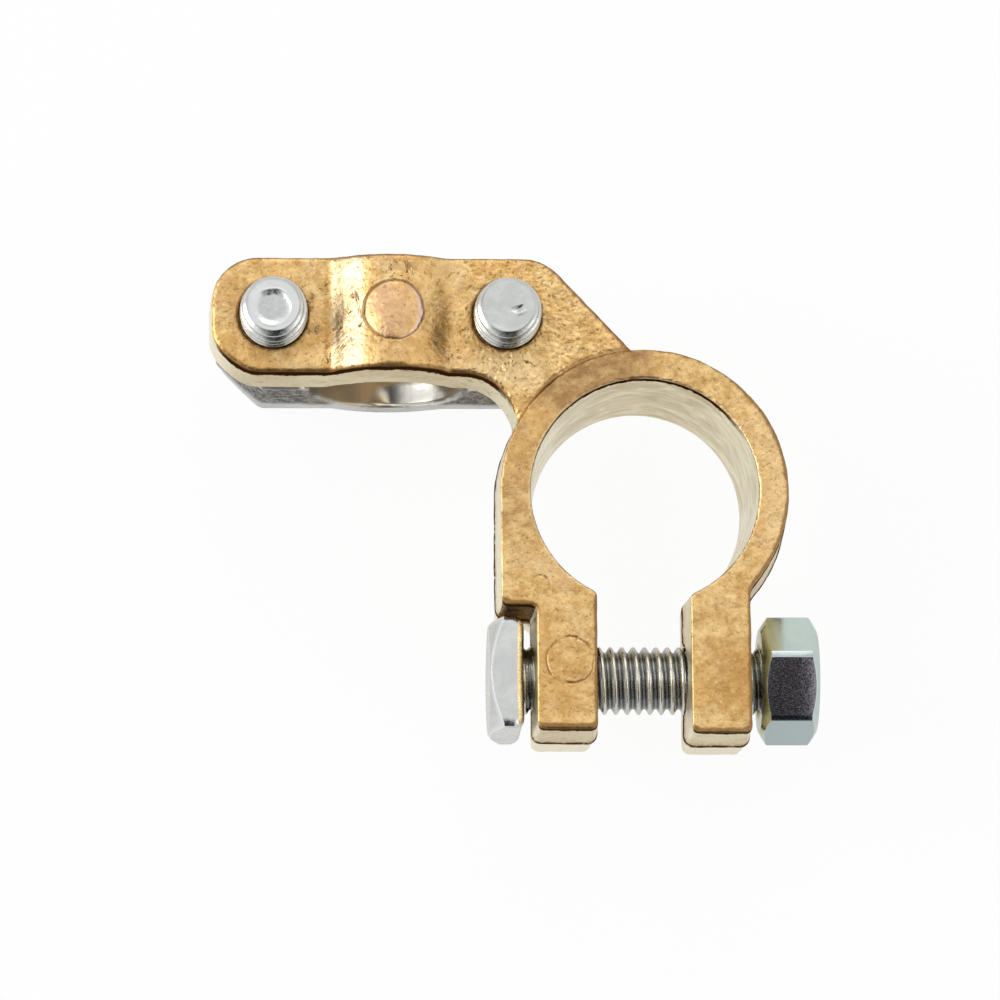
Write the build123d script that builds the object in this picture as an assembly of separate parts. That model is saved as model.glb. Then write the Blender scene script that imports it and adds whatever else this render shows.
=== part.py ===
from build123d import *
import os
from math import radians, sqrt, tan

# Battery terminal clamp: one brass forging that grips the tapered battery post, a steel strap
# that grips the cable under its arm, two screws for the strap, and a square-headed bolt with a
# nut that draws the lugs together.  Millimetres.
# Frame: origin on the post bore's axis at its wide (battery-side) face, +Z out of that face,
# the cable arm towards -X and +Y, the lugs towards -Y.

# ---- forging: ring and bore -------------------------------------------------------------------
CLAMP_HEIGHT = 12.6          # along the bore
BORE_WIDE_RADIUS = 10.0      # at the wide face
BORE_TAPER = 1 / 9           # change of diameter per length, as on a battery post
RING_WALL = 2.6              # at the wide face
DRAFT = 2.5                  # degrees, away from the parting plane at half height
EDGE_ROUND = 0.35            # forged edges

# ---- forging: lugs ----------------------------------------------------------------------------
LUG_GAP_LEFT = 4.3           # bore axis to the left lug's inner face
LUG_GAP_RIGHT = 3.9          # bore axis to the right lug's inner face
LUG_THICKNESS = 5.2
LUG_END_LEFT = 5.3           # bolt axis to the lug's end
LUG_END_RIGHT = 5.55
MOUTH_ROUND = 0.6            # where the bore's wall meets the slot
LUG_CORNER = 0.6
NECK_ROUND = 2.0             # between the ring and the right lug
SHOULDER_CLEARANCE = 0.75    # bolt head to the shoulder that stops it turning
SHOULDER_CORNER = 0.7

# ---- clamp bolt and nut (M6) ------------------------------------------------------------------
THREAD_RADIUS = 3.0
THREAD_CLEARANCE = 0.05      # radial, between a plain shank here and its tapped hole
HOLE_CLEARANCE = 0.2         # radial, of the plain holes in the lugs and the strap
BOLT_BELOW_BORE = 5.8        # bore's wide edge to bolt axis
BOLT_LENGTH = 25.0
BOLT_HEAD_WIDTH = 9.8
BOLT_HEAD_THICKNESS = 3.2
BOLT_HEAD_BEVEL = 20.0       # degrees, cone on the outer face
BOLT_HEAD_INSET = 0.2        # where that cone starts, inside the head's flats
BOLT_HEAD_ROUND = 0.8        # edges on the bearing side
BOLT_HEAD_GAP = 0.8          # head to the left lug, bolt not yet drawn up
NUT_GAP = 0.9                # nut to the right lug
NUT_WIDTH = 10.0             # across flats
NUT_THICKNESS = 5.0
NUT_TURN = 14.5              # degrees, from a flat that faces +Z towards -Y
HEX_BEVEL = 30.0             # degrees, nut and screw heads
HEX_BEVEL_START = 0.9        # of the width across flats
COUNTERSINK_EDGE = 0.4       # both faces of the nut
COUNTERSINK_DEPTH = 0.35
END_BEVEL = 0.8              # point of each threaded shank

# ---- forging: cable arm -----------------------------------------------------------------------
ARM_STEP = 1.0               # arm's top below the wide face
ARM_LENGTH = 37.84           # bore axis to the arm's end
ARM_WIDTH = 10.35
ARM_ABOVE_BORE = 5.8         # bore's wide edge to the arm's centre line
ARM_CORNER_FAR = 4.1         # end corner on the +Y side
ARM_CORNER_NEAR = 3.6        # end corner on the -Y side
WEB_CORNER = 8.65            # bore axis back to where the arm's far edge turns down to the ring
WEB_ROUND = 4.4
WEB_ANGLE = 47.0             # degrees, slope of that edge
NEAR_WEB_RADIUS = 5.0        # sweep from the arm's near edge down into the ring
NEAR_WEB_SINK = 0.235        # how far that sweep ends inside the ring's wall

# ---- cable seat -------------------------------------------------------------------------------
SCREW_SPACING = 20.5
SADDLE_CENTRE = 22.15        # bore axis back to the cable's axis
SADDLE_WIDTH = 10.2
SADDLE_RISE = 2.1
SADDLE_CREASE = 1.8
GROOVE_WIDTH = 11.0
GROOVE_DEPTH = 1.9
GROOVE_MOUTH_ROUND = 0.5

# ---- strap and its screws ---------------------------------------------------------------------
STRAP_GAP = 1.1              # strap to arm, screws not yet drawn up
STRAP_THICKNESS = 7.8
STRAP_WIDTH = 10.7
STRAP_END_INSET = 0.4
STRAP_RING_END = 7.0         # bore axis back to the strap's end beside the ring
STRAP_CORNER = 4.0           # corners cut at 45 degrees
STRAP_CORNER_ROUND = 0.8
STRAP_GROOVE_WIDTH = 13.8
STRAP_GROOVE_DEPTH = 7.4
STRAP_GROOVE_LIP = 1.2
RIB_RISE = 1.6               # rib under the groove
RIB_CLEARANCE = 0.7          # rib to the corners of a screw's head
STRAP_EDGE_ROUND = 0.3
SCREW_LENGTH = 18.0
SCREW_HEAD_WIDTH = 8.0       # across flats
SCREW_HEAD_HEIGHT = 4.0
SCREW_TURNS = (3.0, -8.0)    # degrees, how each head happens to stand

# ---- derived ----------------------------------------------------------------------------------
BOLT_DROP = BORE_WIDE_RADIUS + BOLT_BELOW_BORE
LUG_DROP_LEFT = BOLT_DROP + LUG_END_LEFT
LUG_DROP_RIGHT = BOLT_DROP + LUG_END_RIGHT
SHOULDER_DROP = BOLT_DROP - BOLT_HEAD_WIDTH / 2 - SHOULDER_CLEARANCE
ARM_OFFSET = BORE_WIDE_RADIUS + ARM_ABOVE_BORE
PARTING_Z = -CLAMP_HEIGHT / 2
DRAFT_GROWTH = CLAMP_HEIGHT / 2 * tan(radians(DRAFT))
RING_RADIUS = BORE_WIDE_RADIUS + RING_WALL
LEFT_LUG_OUTER = -(LUG_GAP_LEFT + LUG_THICKNESS)
RIGHT_LUG_OUTER = LUG_GAP_RIGHT + LUG_THICKNESS
ARM_TOP_Z = -ARM_STEP
ARM_NEAR_Y = ARM_OFFSET - ARM_WIDTH / 2
ARM_FAR_Y = ARM_OFFSET + ARM_WIDTH / 2
SCREW_X = (-SADDLE_CENTRE - SCREW_SPACING / 2, -SADDLE_CENTRE + SCREW_SPACING / 2)
STRAP_TOP_Z = PARTING_Z - STRAP_GAP
STRAP_UNDER_Z = STRAP_TOP_Z - STRAP_THICKNESS
RIB_WIDTH = SCREW_SPACING - SCREW_HEAD_WIDTH * 2 / sqrt(3) - 2 * RIB_CLEARANCE
SHANK_RADIUS = THREAD_RADIUS - THREAD_CLEARANCE
HOLE_RADIUS = THREAD_RADIUS + HOLE_CLEARANCE
COUNTERSINK_RADIUS = THREAD_RADIUS + COUNTERSINK_EDGE
BOLT_SEAT_X = LEFT_LUG_OUTER - DRAFT_GROWTH - BOLT_HEAD_GAP
NUT_SEAT_X = RIGHT_LUG_OUTER + DRAFT_GROWTH + NUT_GAP
BEYOND = 1.0                 # how far a cutting tool runs past what it cuts


def arc_radius(chord, rise):
    return (chord * chord / 4 + rise * rise) / (2 * rise)


def corner_at(shape, x, y):
    """The vertex of a flat shape that lies at (x, y)."""
    return shape.vertices().sort_by_distance((x, y, shape.center().Z))[0]


def post_bore():
    """The tapered bore as a solid cone that runs past both faces."""
    slope = BORE_TAPER / 2
    height = CLAMP_HEIGHT + 2 * BEYOND
    low = BORE_WIDE_RADIUS - slope * (CLAMP_HEIGHT + BEYOND)
    high = BORE_WIDE_RADIUS + slope * BEYOND
    return Pos(0, 0, PARTING_Z) * Cone(low, high, height)


def clamp_outline():
    """Ring, shoulder and both lugs, as they stand on the wide face, with the slot open."""
    ring = Circle(RING_RADIUS)
    shoulder = Pos(-RING_RADIUS, -SHOULDER_DROP) * Rectangle(
        RING_RADIUS, SHOULDER_DROP, align=(Align.MIN, Align.MIN)
    )
    left_lug = Pos(LEFT_LUG_OUTER, -LUG_DROP_LEFT) * Rectangle(
        -LEFT_LUG_OUTER, LUG_DROP_LEFT, align=(Align.MIN, Align.MIN)
    )
    right_lug = Pos(0, -LUG_DROP_RIGHT) * Rectangle(
        RIGHT_LUG_OUTER, LUG_DROP_RIGHT, align=(Align.MIN, Align.MIN)
    )
    slot = Pos(-LUG_GAP_LEFT, -LUG_DROP_RIGHT - BEYOND) * Rectangle(
        LUG_GAP_LEFT + LUG_GAP_RIGHT, LUG_DROP_RIGHT + BEYOND, align=(Align.MIN, Align.MIN)
    )
    shape = ring + shoulder + left_lug + right_lug - slot
    neck_y = -sqrt(RING_RADIUS**2 - RIGHT_LUG_OUTER**2)
    shape = fillet(corner_at(shape, RIGHT_LUG_OUTER, neck_y), NECK_ROUND)
    lug_ends = [
        (LEFT_LUG_OUTER, -LUG_DROP_LEFT),
        (-LUG_GAP_LEFT, -LUG_DROP_LEFT),
        (LUG_GAP_RIGHT, -LUG_DROP_RIGHT),
        (RIGHT_LUG_OUTER, -LUG_DROP_RIGHT),
    ]
    shape = fillet([corner_at(shape, x, y) for x, y in lug_ends], LUG_CORNER)
    shoulder_corners = [(-RING_RADIUS, -SHOULDER_DROP), (LEFT_LUG_OUTER, -SHOULDER_DROP)]
    return fillet([corner_at(shape, x, y) for x, y in shoulder_corners], SHOULDER_CORNER)


def clamp_ring():
    """Both drafted halves of the ring and lugs, meeting at the parting plane."""
    upper = extrude(clamp_outline(), amount=CLAMP_HEIGHT / 2, dir=(0, 0, -1), taper=-DRAFT)
    lower = mirror(upper, about=Plane.XY.offset(PARTING_Z))
    return upper + lower


def outline_edges(solid, up):
    """Edges between a forging's upper (up = 1) or lower (up = -1) faces and its walls."""
    level = []
    walls = []
    for face in solid.faces():
        lean = face.normal_at(face.center()).Z
        if lean * up > 0.5:
            level += face.edges()
        elif abs(lean) < 0.5:
            walls += face.edges()
    return [edge for edge in level if edge in walls]


def cable_arm():
    """The drafted arm with its saddle, groove and web, from the parting plane up."""
    web_fall = WEB_CORNER * tan(radians(WEB_ANGLE))
    near_web_y = ARM_NEAR_Y - NEAR_WEB_RADIUS
    near_web_end = -sqrt(RING_RADIUS**2 - near_web_y**2) + NEAR_WEB_SINK
    near_web_start = near_web_end - NEAR_WEB_RADIUS
    outline = make_face(
        Polyline(
            (near_web_end, near_web_y),
            (0, near_web_y),
            (0, ARM_FAR_Y - web_fall),
            (-WEB_CORNER, ARM_FAR_Y),
            (-ARM_LENGTH, ARM_FAR_Y),
            (-ARM_LENGTH, ARM_NEAR_Y),
            (near_web_start, ARM_NEAR_Y),
        )
        + CenterArc((near_web_start, near_web_y), NEAR_WEB_RADIUS, 0, 90)
    )
    outline = fillet(corner_at(outline, -ARM_LENGTH, ARM_FAR_Y), ARM_CORNER_FAR)
    outline = fillet(corner_at(outline, -ARM_LENGTH, ARM_NEAR_Y), ARM_CORNER_NEAR)
    outline = fillet(corner_at(outline, -WEB_CORNER, ARM_FAR_Y), WEB_ROUND)
    outline = Pos(0, 0, ARM_TOP_Z) * outline
    lower = extrude(outline, amount=ARM_TOP_Z - PARTING_Z, dir=(0, 0, -1), taper=-DRAFT)
    underside = lower.faces().sort_by(Axis.Z)[0]
    height = ARM_TOP_Z - PARTING_Z + SADDLE_RISE + BEYOND
    arm = extrude(underside, amount=height, dir=(0, 0, 1), taper=DRAFT) & arm_side_profile()
    return fillet(outline_edges(arm, 1) + outline_edges(arm, -1), EDGE_ROUND)


def arm_side_profile():
    """What the arm looks like from the side, drawn through its whole width."""
    saddle_radius = arc_radius(SADDLE_WIDTH, SADDLE_RISE)
    groove_radius = arc_radius(GROOVE_WIDTH, GROOVE_DEPTH)
    plate = Pos(-ARM_LENGTH - BEYOND, PARTING_Z) * Rectangle(
        ARM_LENGTH + 2 * BEYOND, ARM_TOP_Z - PARTING_Z, align=(Align.MIN, Align.MIN)
    )
    saddle = Pos(-SADDLE_CENTRE, ARM_TOP_Z + SADDLE_RISE - saddle_radius) * Circle(saddle_radius)
    saddle &= Pos(-SADDLE_CENTRE, ARM_TOP_Z) * Rectangle(
        SADDLE_WIDTH, 2 * SADDLE_RISE, align=(Align.CENTER, Align.CENTER)
    )
    groove = Pos(-SADDLE_CENTRE, PARTING_Z + GROOVE_DEPTH - groove_radius) * Circle(groove_radius)
    profile = plate + saddle - groove
    for side in (-1, 1):
        crease = corner_at(profile, -SADDLE_CENTRE + side * SADDLE_WIDTH / 2, ARM_TOP_Z)
        profile = fillet(crease, SADDLE_CREASE)
        mouth = corner_at(profile, -SADDLE_CENTRE + side * GROOVE_WIDTH / 2, PARTING_Z)
        profile = fillet(mouth, GROOVE_MOUTH_ROUND)
    return side_prism(profile, 0, ARM_FAR_Y + BEYOND)


def side_prism(profile, y_low, y_high):
    """A side view, drawn with x along X and y along Z, extruded from y_low to y_high."""
    upright = Plane(origin=(0, y_high, 0), x_dir=(1, 0, 0), z_dir=(0, -1, 0))
    return extrude(upright * profile, amount=y_high - y_low, dir=(0, -1, 0))


def slot_mouth_edges(body):
    """The upright edges where the slot opens into the bore."""
    return [
        edge
        for edge in body.edges()
        if abs(edge.center().X) < LUG_GAP_LEFT + MOUTH_ROUND
        and -BORE_WIDE_RADIUS < edge.center().Y < 0
        and edge.bounding_box().size.Z > CLAMP_HEIGHT / 4
    ]


def clamp_body():
    """The forging, machined: bore, slot, lug holes and the arm's two tapped holes."""
    body = clamp_ring() + cable_arm() - post_bore()
    body = fillet(slot_mouth_edges(body), MOUTH_ROUND)
    faces = body.faces().sort_by(Axis.Z)
    body = fillet(faces[0].edges() + faces[-1].edges(), EDGE_ROUND)
    bolt_hole = Rot(0, 90, 0) * Cylinder(HOLE_RADIUS, 3 * RING_RADIUS)
    body -= Pos(0, -BOLT_DROP, PARTING_Z) * bolt_hole
    for x in SCREW_X:
        body -= Pos(x, ARM_OFFSET, 0) * Cylinder(THREAD_RADIUS, 2 * CLAMP_HEIGHT)
    return body


def bevelled_prism(flat_shape, height, bevel_radius, bevel_angle):
    """A flat shape extruded to a height, its lower end turned off by a cone."""
    reach = 2 * bevel_radius
    fall = (reach - bevel_radius) * tan(radians(bevel_angle))
    turned = Polyline(
        (0, 0), (bevel_radius, 0), (reach, fall), (reach, height), (0, height), close=True
    )
    return extrude(flat_shape, amount=height) & revolve(Plane.XZ * make_face(turned), Axis.Z)


def hexagon_head(width, height, turn):
    """A hexagon with its lower end bevelled; at turn 0 two of its corners lie along X."""
    outline = RegularPolygon(width / 2, 6, major_radius=False, rotation=turn)
    return bevelled_prism(outline, height, HEX_BEVEL_START * width / 2, HEX_BEVEL)


def shank(length):
    """A plain shank of the thread's size with a bevelled point."""
    rod = Cylinder(SHANK_RADIUS, length, align=(Align.CENTER, Align.CENTER, Align.MIN))
    return chamfer(rod.edges().sort_by(Axis.Z)[-1], END_BEVEL)


def cable_screw(x, turn):
    """Hexagon-head screw, head under the strap, point out of the arm."""
    head = hexagon_head(SCREW_HEAD_WIDTH, SCREW_HEAD_HEIGHT, turn)
    screw = Pos(0, 0, -SCREW_HEAD_HEIGHT) * head + shank(SCREW_LENGTH)
    return Pos(x, ARM_OFFSET, STRAP_UNDER_Z) * screw


def clamp_bolt():
    """Square-headed bolt through both lugs, its head under the shoulder."""
    square = Rectangle(BOLT_HEAD_WIDTH, BOLT_HEAD_WIDTH)
    bevel_start = BOLT_HEAD_WIDTH / 2 - BOLT_HEAD_INSET
    head = bevelled_prism(square, BOLT_HEAD_THICKNESS, bevel_start, BOLT_HEAD_BEVEL)
    head = fillet(head.faces().sort_by(Axis.Z)[-1].edges(), BOLT_HEAD_ROUND)
    bolt = Pos(0, 0, -BOLT_HEAD_THICKNESS) * head + shank(BOLT_LENGTH)
    return Pos(BOLT_SEAT_X, -BOLT_DROP, PARTING_Z) * Rot(0, 90, 0) * bolt


def clamp_nut():
    """Hexagon nut, bevelled and countersunk on both faces."""
    nut = hexagon_head(NUT_WIDTH, NUT_THICKNESS, 30)
    nut &= Pos(0, 0, NUT_THICKNESS) * mirror(nut, about=Plane.XY)
    nut -= Cylinder(THREAD_RADIUS, 3 * NUT_THICKNESS)
    sink = Cone(COUNTERSINK_RADIUS, THREAD_RADIUS, COUNTERSINK_DEPTH)
    nut -= Pos(0, 0, COUNTERSINK_DEPTH / 2) * sink
    nut -= Pos(0, 0, NUT_THICKNESS - COUNTERSINK_DEPTH / 2) * Rot(180, 0, 0) * sink
    return Pos(NUT_SEAT_X, -BOLT_DROP, PARTING_Z) * Rot(NUT_TURN, 0, 0) * Rot(0, 90, 0) * nut


def cable_strap():
    """Thick steel strap: flat ends for the screws, a groove for the cable and a rib behind it."""
    groove_radius = arc_radius(STRAP_GROOVE_WIDTH, STRAP_GROOVE_DEPTH)
    rib_radius = arc_radius(RIB_WIDTH, RIB_RISE)
    left_end = -ARM_LENGTH + STRAP_END_INSET
    near_side = ARM_OFFSET - STRAP_WIDTH / 2
    far_side = ARM_OFFSET + STRAP_WIDTH / 2
    bar = Pos(left_end, STRAP_UNDER_Z) * Rectangle(
        -STRAP_RING_END - left_end, STRAP_THICKNESS, align=(Align.MIN, Align.MIN)
    )
    rib = Pos(-SADDLE_CENTRE, STRAP_UNDER_Z - RIB_RISE + rib_radius) * Circle(rib_radius)
    rib &= Pos(-SADDLE_CENTRE, STRAP_UNDER_Z) * Rectangle(RIB_WIDTH, 2 * RIB_RISE)
    groove = Pos(-SADDLE_CENTRE, STRAP_TOP_Z - STRAP_GROOVE_DEPTH + groove_radius) * Circle(groove_radius)
    profile = bar + rib - groove
    for side in (-1, 1):
        lip = corner_at(profile, -SADDLE_CENTRE + side * STRAP_GROOVE_WIDTH / 2, STRAP_TOP_Z)
        profile = fillet(lip, STRAP_GROOVE_LIP)
    plan = Pos(left_end, near_side) * Rectangle(
        -STRAP_RING_END - left_end, STRAP_WIDTH, align=(Align.MIN, Align.MIN)
    )
    plan = chamfer(plan.vertices(), STRAP_CORNER)
    plan = fillet(plan.vertices(), STRAP_CORNER_ROUND)
    depth = STRAP_THICKNESS + 2 * RIB_RISE + BEYOND
    blank = Pos(0, 0, STRAP_TOP_Z + BEYOND) * extrude(plan, amount=-depth - BEYOND)
    strap = blank & side_prism(profile, near_side - BEYOND, far_side + BEYOND)
    strap = fillet(outline_edges(strap, 1) + outline_edges(strap, -1), STRAP_EDGE_ROUND)
    screw_hole = Cylinder(HOLE_RADIUS, 4 * STRAP_THICKNESS)
    for x in SCREW_X:
        strap -= Pos(x, ARM_OFFSET, STRAP_TOP_Z) * screw_hole
    return strap


NODES = {
    "clamp_body": clamp_body,
    "cable_strap": cable_strap,
    "cable_screw_left": lambda: cable_screw(SCREW_X[0], SCREW_TURNS[0]),
    "cable_screw_right": lambda: cable_screw(SCREW_X[1], SCREW_TURNS[1]),
    "clamp_bolt": clamp_bolt,
    "clamp_nut": clamp_nut,
}

os.makedirs("parts", exist_ok=True)
for name, make in NODES.items():
    export_step(make(), f"parts/{name}.step")
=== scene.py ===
from math import cos, pi, radians, sin, sqrt, tan

import bpy
import numpy as np
from mathutils import Matrix, Vector, noise


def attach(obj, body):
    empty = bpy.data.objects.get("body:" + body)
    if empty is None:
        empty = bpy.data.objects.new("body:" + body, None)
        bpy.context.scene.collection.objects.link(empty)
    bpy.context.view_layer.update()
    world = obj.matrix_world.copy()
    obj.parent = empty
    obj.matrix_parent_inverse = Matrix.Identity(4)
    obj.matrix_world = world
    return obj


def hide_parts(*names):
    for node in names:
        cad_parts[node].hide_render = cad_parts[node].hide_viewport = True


# Battery terminal clamp: a worn brass forging with a zinc-plated strap, screws, bolt and nut.
# Lengths are in millimetres and go to metres where a mesh or object is made.
MM = 0.001

# ---- sizes shared with the CAD part ---------------------------------------------------------
PARTING_Z = -6.3
ARM_TOP_Z = -1.0
RING_RADIUS = 12.6
BORE_RADIUS = 10.0
BORE_SLOPE = 1 / 18
ARM_Y = 15.8
SADDLE_X = -22.15
SADDLE_RADIUS = 7.243
SADDLE_RISE = 2.1
SHOULDER_Y = -10.15
SCREW_X = {"left": -32.4, "right": -11.9}
SCREW_LENGTH = 18.0
SCREW_HEAD_WIDTH = 8.0
SCREW_HEAD_HEIGHT = 4.0
STRAP_TOP_Z = -7.4
STRAP_UNDER_Z = -15.2
BOLT_Y = -15.8
BOLT_SEAT_X = -10.5751
BOLT_LENGTH = 25.0
NUT_SEAT_X = 10.2751
NUT_WIDTH = 10.0
NUT_THICKNESS = 5.0
NUT_TURN = 14.5
FLOOR_Z = STRAP_UNDER_Z - SCREW_HEAD_HEIGHT

# ---- threads and heads ----------------------------------------------------------------------
PITCH = 1.0
CREST = 2.97
ROOT = 2.47
END_FALL = 0.60              # how far the crest falls off towards the shank's end,
END_RUN = 2.2                # and over what length
END_RADIUS = 2.18
BEVEL = 30                   # slope of a head's or nut's corner bevel, degrees
BOLT_HEAD_WIDTH = 9.8
BOLT_HEAD_HEIGHT = 2.95
SCREW_HEAD_TURN = {"left": 15.0, "right": -8.0}

# ---- marks on the forging -------------------------------------------------------------------
# Round marks left by the ejector pins: x, y, radius, depth of the outline.
LUG_MARK = (-6.69, -15.04, 2.05, 0.05)
RING_MARK = (-9.19, -8.36, 0.78, 0.03)
SADDLE_MARK = (-21.9, 15.85, 2.66, 0.06)

# Oval patches, seen from above: x, y, half width in x, half width in y, strength.
GOUGED = ((-25.4, 15.4, 0.9, 3.4, 1.0), (-21.3, 19.3, 1.7, 1.5, 1.0), (-27.7, 12.5, 0.7, 2.0, 1.0))
WARM = (
    (8.0, -16.5, 4.5, 5.0, 0.9),
    (-21.5, 12.4, 4.5, 1.6, 0.5),
    (-7.0, -16.0, 5.0, 5.5, 0.35),
    (-35.6, 17.5, 2.6, 4.0, 0.5),
)
PALE = ((-12.5, 10.8, 6.0, 2.2, 0.8),)
GRIMY = (
    (-18.0, 13.6, 1.5, 2.6, 0.42),
    (-17.2, 17.5, 1.2, 1.6, 0.3),
    (-29.0, 14.5, 1.9, 1.0, 0.46),
    (-29.2, 17.0, 0.8, 2.0, 0.46),
    (6.5, -14.0, 1.8, 2.5, 0.2),
)
LIT_FLANK = (-27.6, -27.1, -24.7, -24.2)     # the saddle's left flank, painted pale as a highlight, along x

# ---- colours --------------------------------------------------------------------------------
BRASS_TONE = {
    "light gold": (0.87, 0.61, 0.28, 1),
    "deep gold": (0.62, 0.38, 0.135, 1),
    "orange patch": (0.74, 0.42, 0.14, 1),
    "buff patch": (0.80, 0.55, 0.30, 1),
    "pale patch": (0.94, 0.72, 0.40, 1),
    "warm patch": (0.56, 0.31, 0.095, 1),
    "bright speck": (0.95, 0.73, 0.38, 1),
    "brown speck": (0.40, 0.22, 0.08, 1),
    "stain": (0.37, 0.21, 0.09, 1),
    "pin mark": (0.74, 0.45, 0.26, 1),
    "pin mark, pink side": (0.86, 0.66, 0.58, 1),
    # painted highlight on the saddle's left flank
    "flank highlight": (0.90, 0.78, 0.57, 1),
    # pale wall tones: a painted reflection of the white surroundings, seen at a glance
    "upper wall": (0.77, 0.68, 0.44, 1),
    "upper wall, dull": (0.67, 0.56, 0.34, 1),
    "lower wall": (0.93, 0.87, 0.66, 1),
    "wall towards +x": (0.95, 0.84, 0.60, 1),
    "wall towards -x": (0.97, 0.91, 0.70, 1),
    "wall face on": (0.82, 0.62, 0.33, 1),
    "wall face on, deep": (0.70, 0.50, 0.23, 1),
    "dusting": (0.52, 0.34, 0.13, 1),
    "turned": (1.0, 0.95, 0.71, 1),
    "turned, smeared": (0.62, 0.49, 0.28, 1),
    "turned, scored": (0.30, 0.27, 0.17, 1),
    # painted shade
    "shade": (0.25, 0.15, 0.065, 1),
    "grime": (0.17, 0.12, 0.06, 1),
    "pit": (0.20, 0.11, 0.035, 1),
    "outline": (0.20, 0.10, 0.03, 1),
    # fringe and rim: partly oxide, partly painted shade on edges turned from the key lamp
    "fringe": (0.25, 0.13, 0.045, 1),
    "seam": (0.13, 0.07, 0.025, 1),
    "rim": (0.06, 0.028, 0.010, 1),
    # specular tint of the oxide and of the painted shade
    "oxide and shade at a glance": (0.30, 0.17, 0.07, 1),
}
ZINC_TONE = {
    # nut facets tinted by their direction: painted reflection and shade
    "nut, front facet": (0.61, 0.575, 0.64, 1),
    "nut, side facet": (0.40, 0.47, 0.48, 1),
    "nut, front corner": (0.16, 0.20, 0.24, 1),
    "nut, back corner": (0.34, 0.38, 0.38, 1),
    # bare plate, and the painted highlight line at the heads' edges
    "bare plate, edge highlight": (0.82, 0.84, 0.84, 1),
    "scar": (0.34, 0.34, 0.32, 1),
    # painted shade in the thread's roots and the dished points
    "recess": (0.13, 0.135, 0.13, 1),
}
STRAP_TONE = {
    "plate": (0.68, 0.70, 0.68, 1),
    "plate, dull": (0.54, 0.55, 0.52, 1),
    "torn": (0.10, 0.095, 0.085, 1),
    "torn, worn": (0.36, 0.34, 0.30, 1),
    "fleck": (0.72, 0.70, 0.64, 1),
    "groove": (0.78, 0.78, 0.75, 1),
    "groove, yellowed": (0.70, 0.68, 0.60, 1),
}
WHITE = (1, 1, 1, 1)
FLOOR_GREY = (0.94, 0.94, 0.94, 1)

# ---- light and camera, in the part's frame --------------------------------------------------
SKY = 0.74                   # light from the world on the object
SEEN_SKY = 1.0               # what the camera and polished metal see
SEEN_FLOOR = 0.94            # how white the floor is to the camera,
MIRRORED_FLOOR = 0.45        # and in polished metal
SCREEN_SHADE = 0.97          # how much light the dark screen takes
LAMPS = (                    # name, place, size, power in watts
    ("key", (-345, 20, 240), 270, 0.70),
    ("fill", (300, -120, 260), 220, 0.12),
    ("back", (40, 330, 260), 260, 0.18),
)
LAMP_AIM = (-10, 0, -6)
VIEW_TURN = (-0.2001, 0.0487, -0.0037)
VIEW_SHIFT = (12.6606, 0.8437)
VIEW_DISTANCE = 530.0
LENS = 218.7

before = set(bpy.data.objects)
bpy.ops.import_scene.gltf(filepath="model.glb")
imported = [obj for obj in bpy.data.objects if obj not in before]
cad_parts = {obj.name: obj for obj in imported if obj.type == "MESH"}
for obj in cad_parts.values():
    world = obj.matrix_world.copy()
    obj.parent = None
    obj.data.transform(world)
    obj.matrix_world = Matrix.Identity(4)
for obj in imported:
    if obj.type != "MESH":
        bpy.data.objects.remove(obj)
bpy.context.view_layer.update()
scene = bpy.context.scene


# ---- mesh and number helpers ----------------------------------------------------------------
def link(name, mesh):
    obj = bpy.data.objects.new(name, mesh)
    scene.collection.objects.link(obj)
    return obj


def baked(obj):
    """The object's mesh with its modifiers applied."""
    graph = bpy.context.evaluated_depsgraph_get()
    return bpy.data.meshes.new_from_object(obj.evaluated_get(graph))


def smooth(edge0, edge1, x):
    """0 at edge0 and 1 at edge1, with a soft rise between them."""
    t = np.clip((np.asarray(x) - edge0) / (edge1 - edge0), 0, 1)
    return t * t * (3 - 2 * t)


def span(x, start, full, full_end, end):
    """1 from `full` to `full_end`, fading to 0 at `start` and `end`."""
    return smooth(start, full, x) * smooth(end, full_end, x)


def spots(x, y, patches):
    """The sum of oval patches, each full at its middle and 0 at its edge."""
    total = 0.0
    for at_x, at_y, half_x, half_y, strength in patches:
        reach = np.hypot((x - at_x) / half_x, (y - at_y) / half_y)
        total = total + strength * smooth(1.0, 0.3, reach)
    return total


def points_of(mesh):
    flat = np.zeros(len(mesh.vertices) * 3, np.float32)
    mesh.vertices.foreach_get("co", flat)
    return flat.reshape(-1, 3).astype(float) / MM


def normals_of(mesh):
    flat = np.zeros(len(mesh.vertices) * 3, np.float32)
    mesh.vertices.foreach_get("normal", flat)
    return flat.reshape(-1, 3).astype(float)


def move_to(mesh, points):
    mesh.vertices.foreach_set("co", (points * MM).astype(np.float32).ravel())
    mesh.update()


def moved(x, y, z):
    return Matrix.Translation(Vector((x, y, z)) * MM)


def give(mesh, **fields):
    """Store each field as an attribute on the mesh's points, for the materials to read."""
    for name, values in fields.items():
        layer = mesh.attributes.new(name, "FLOAT", "POINT")
        layer.data.foreach_set("value", np.asarray(values, np.float32))


def noise_at(points, scale, seed):
    """Smooth noise from -1 to 1 with features about `scale` mm across."""
    shift = Vector((17.3 * seed, -9.1 * seed, 5.7 * seed))
    return np.array([noise.noise(Vector(p) / scale + shift) for p in points])


def noise_in_plane(x, y, frequency, height):
    """Smooth noise over a plane, `frequency` features a mm; `height` picks the pattern."""
    return noise.noise(Vector((x * frequency, y * frequency, height)))


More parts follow.
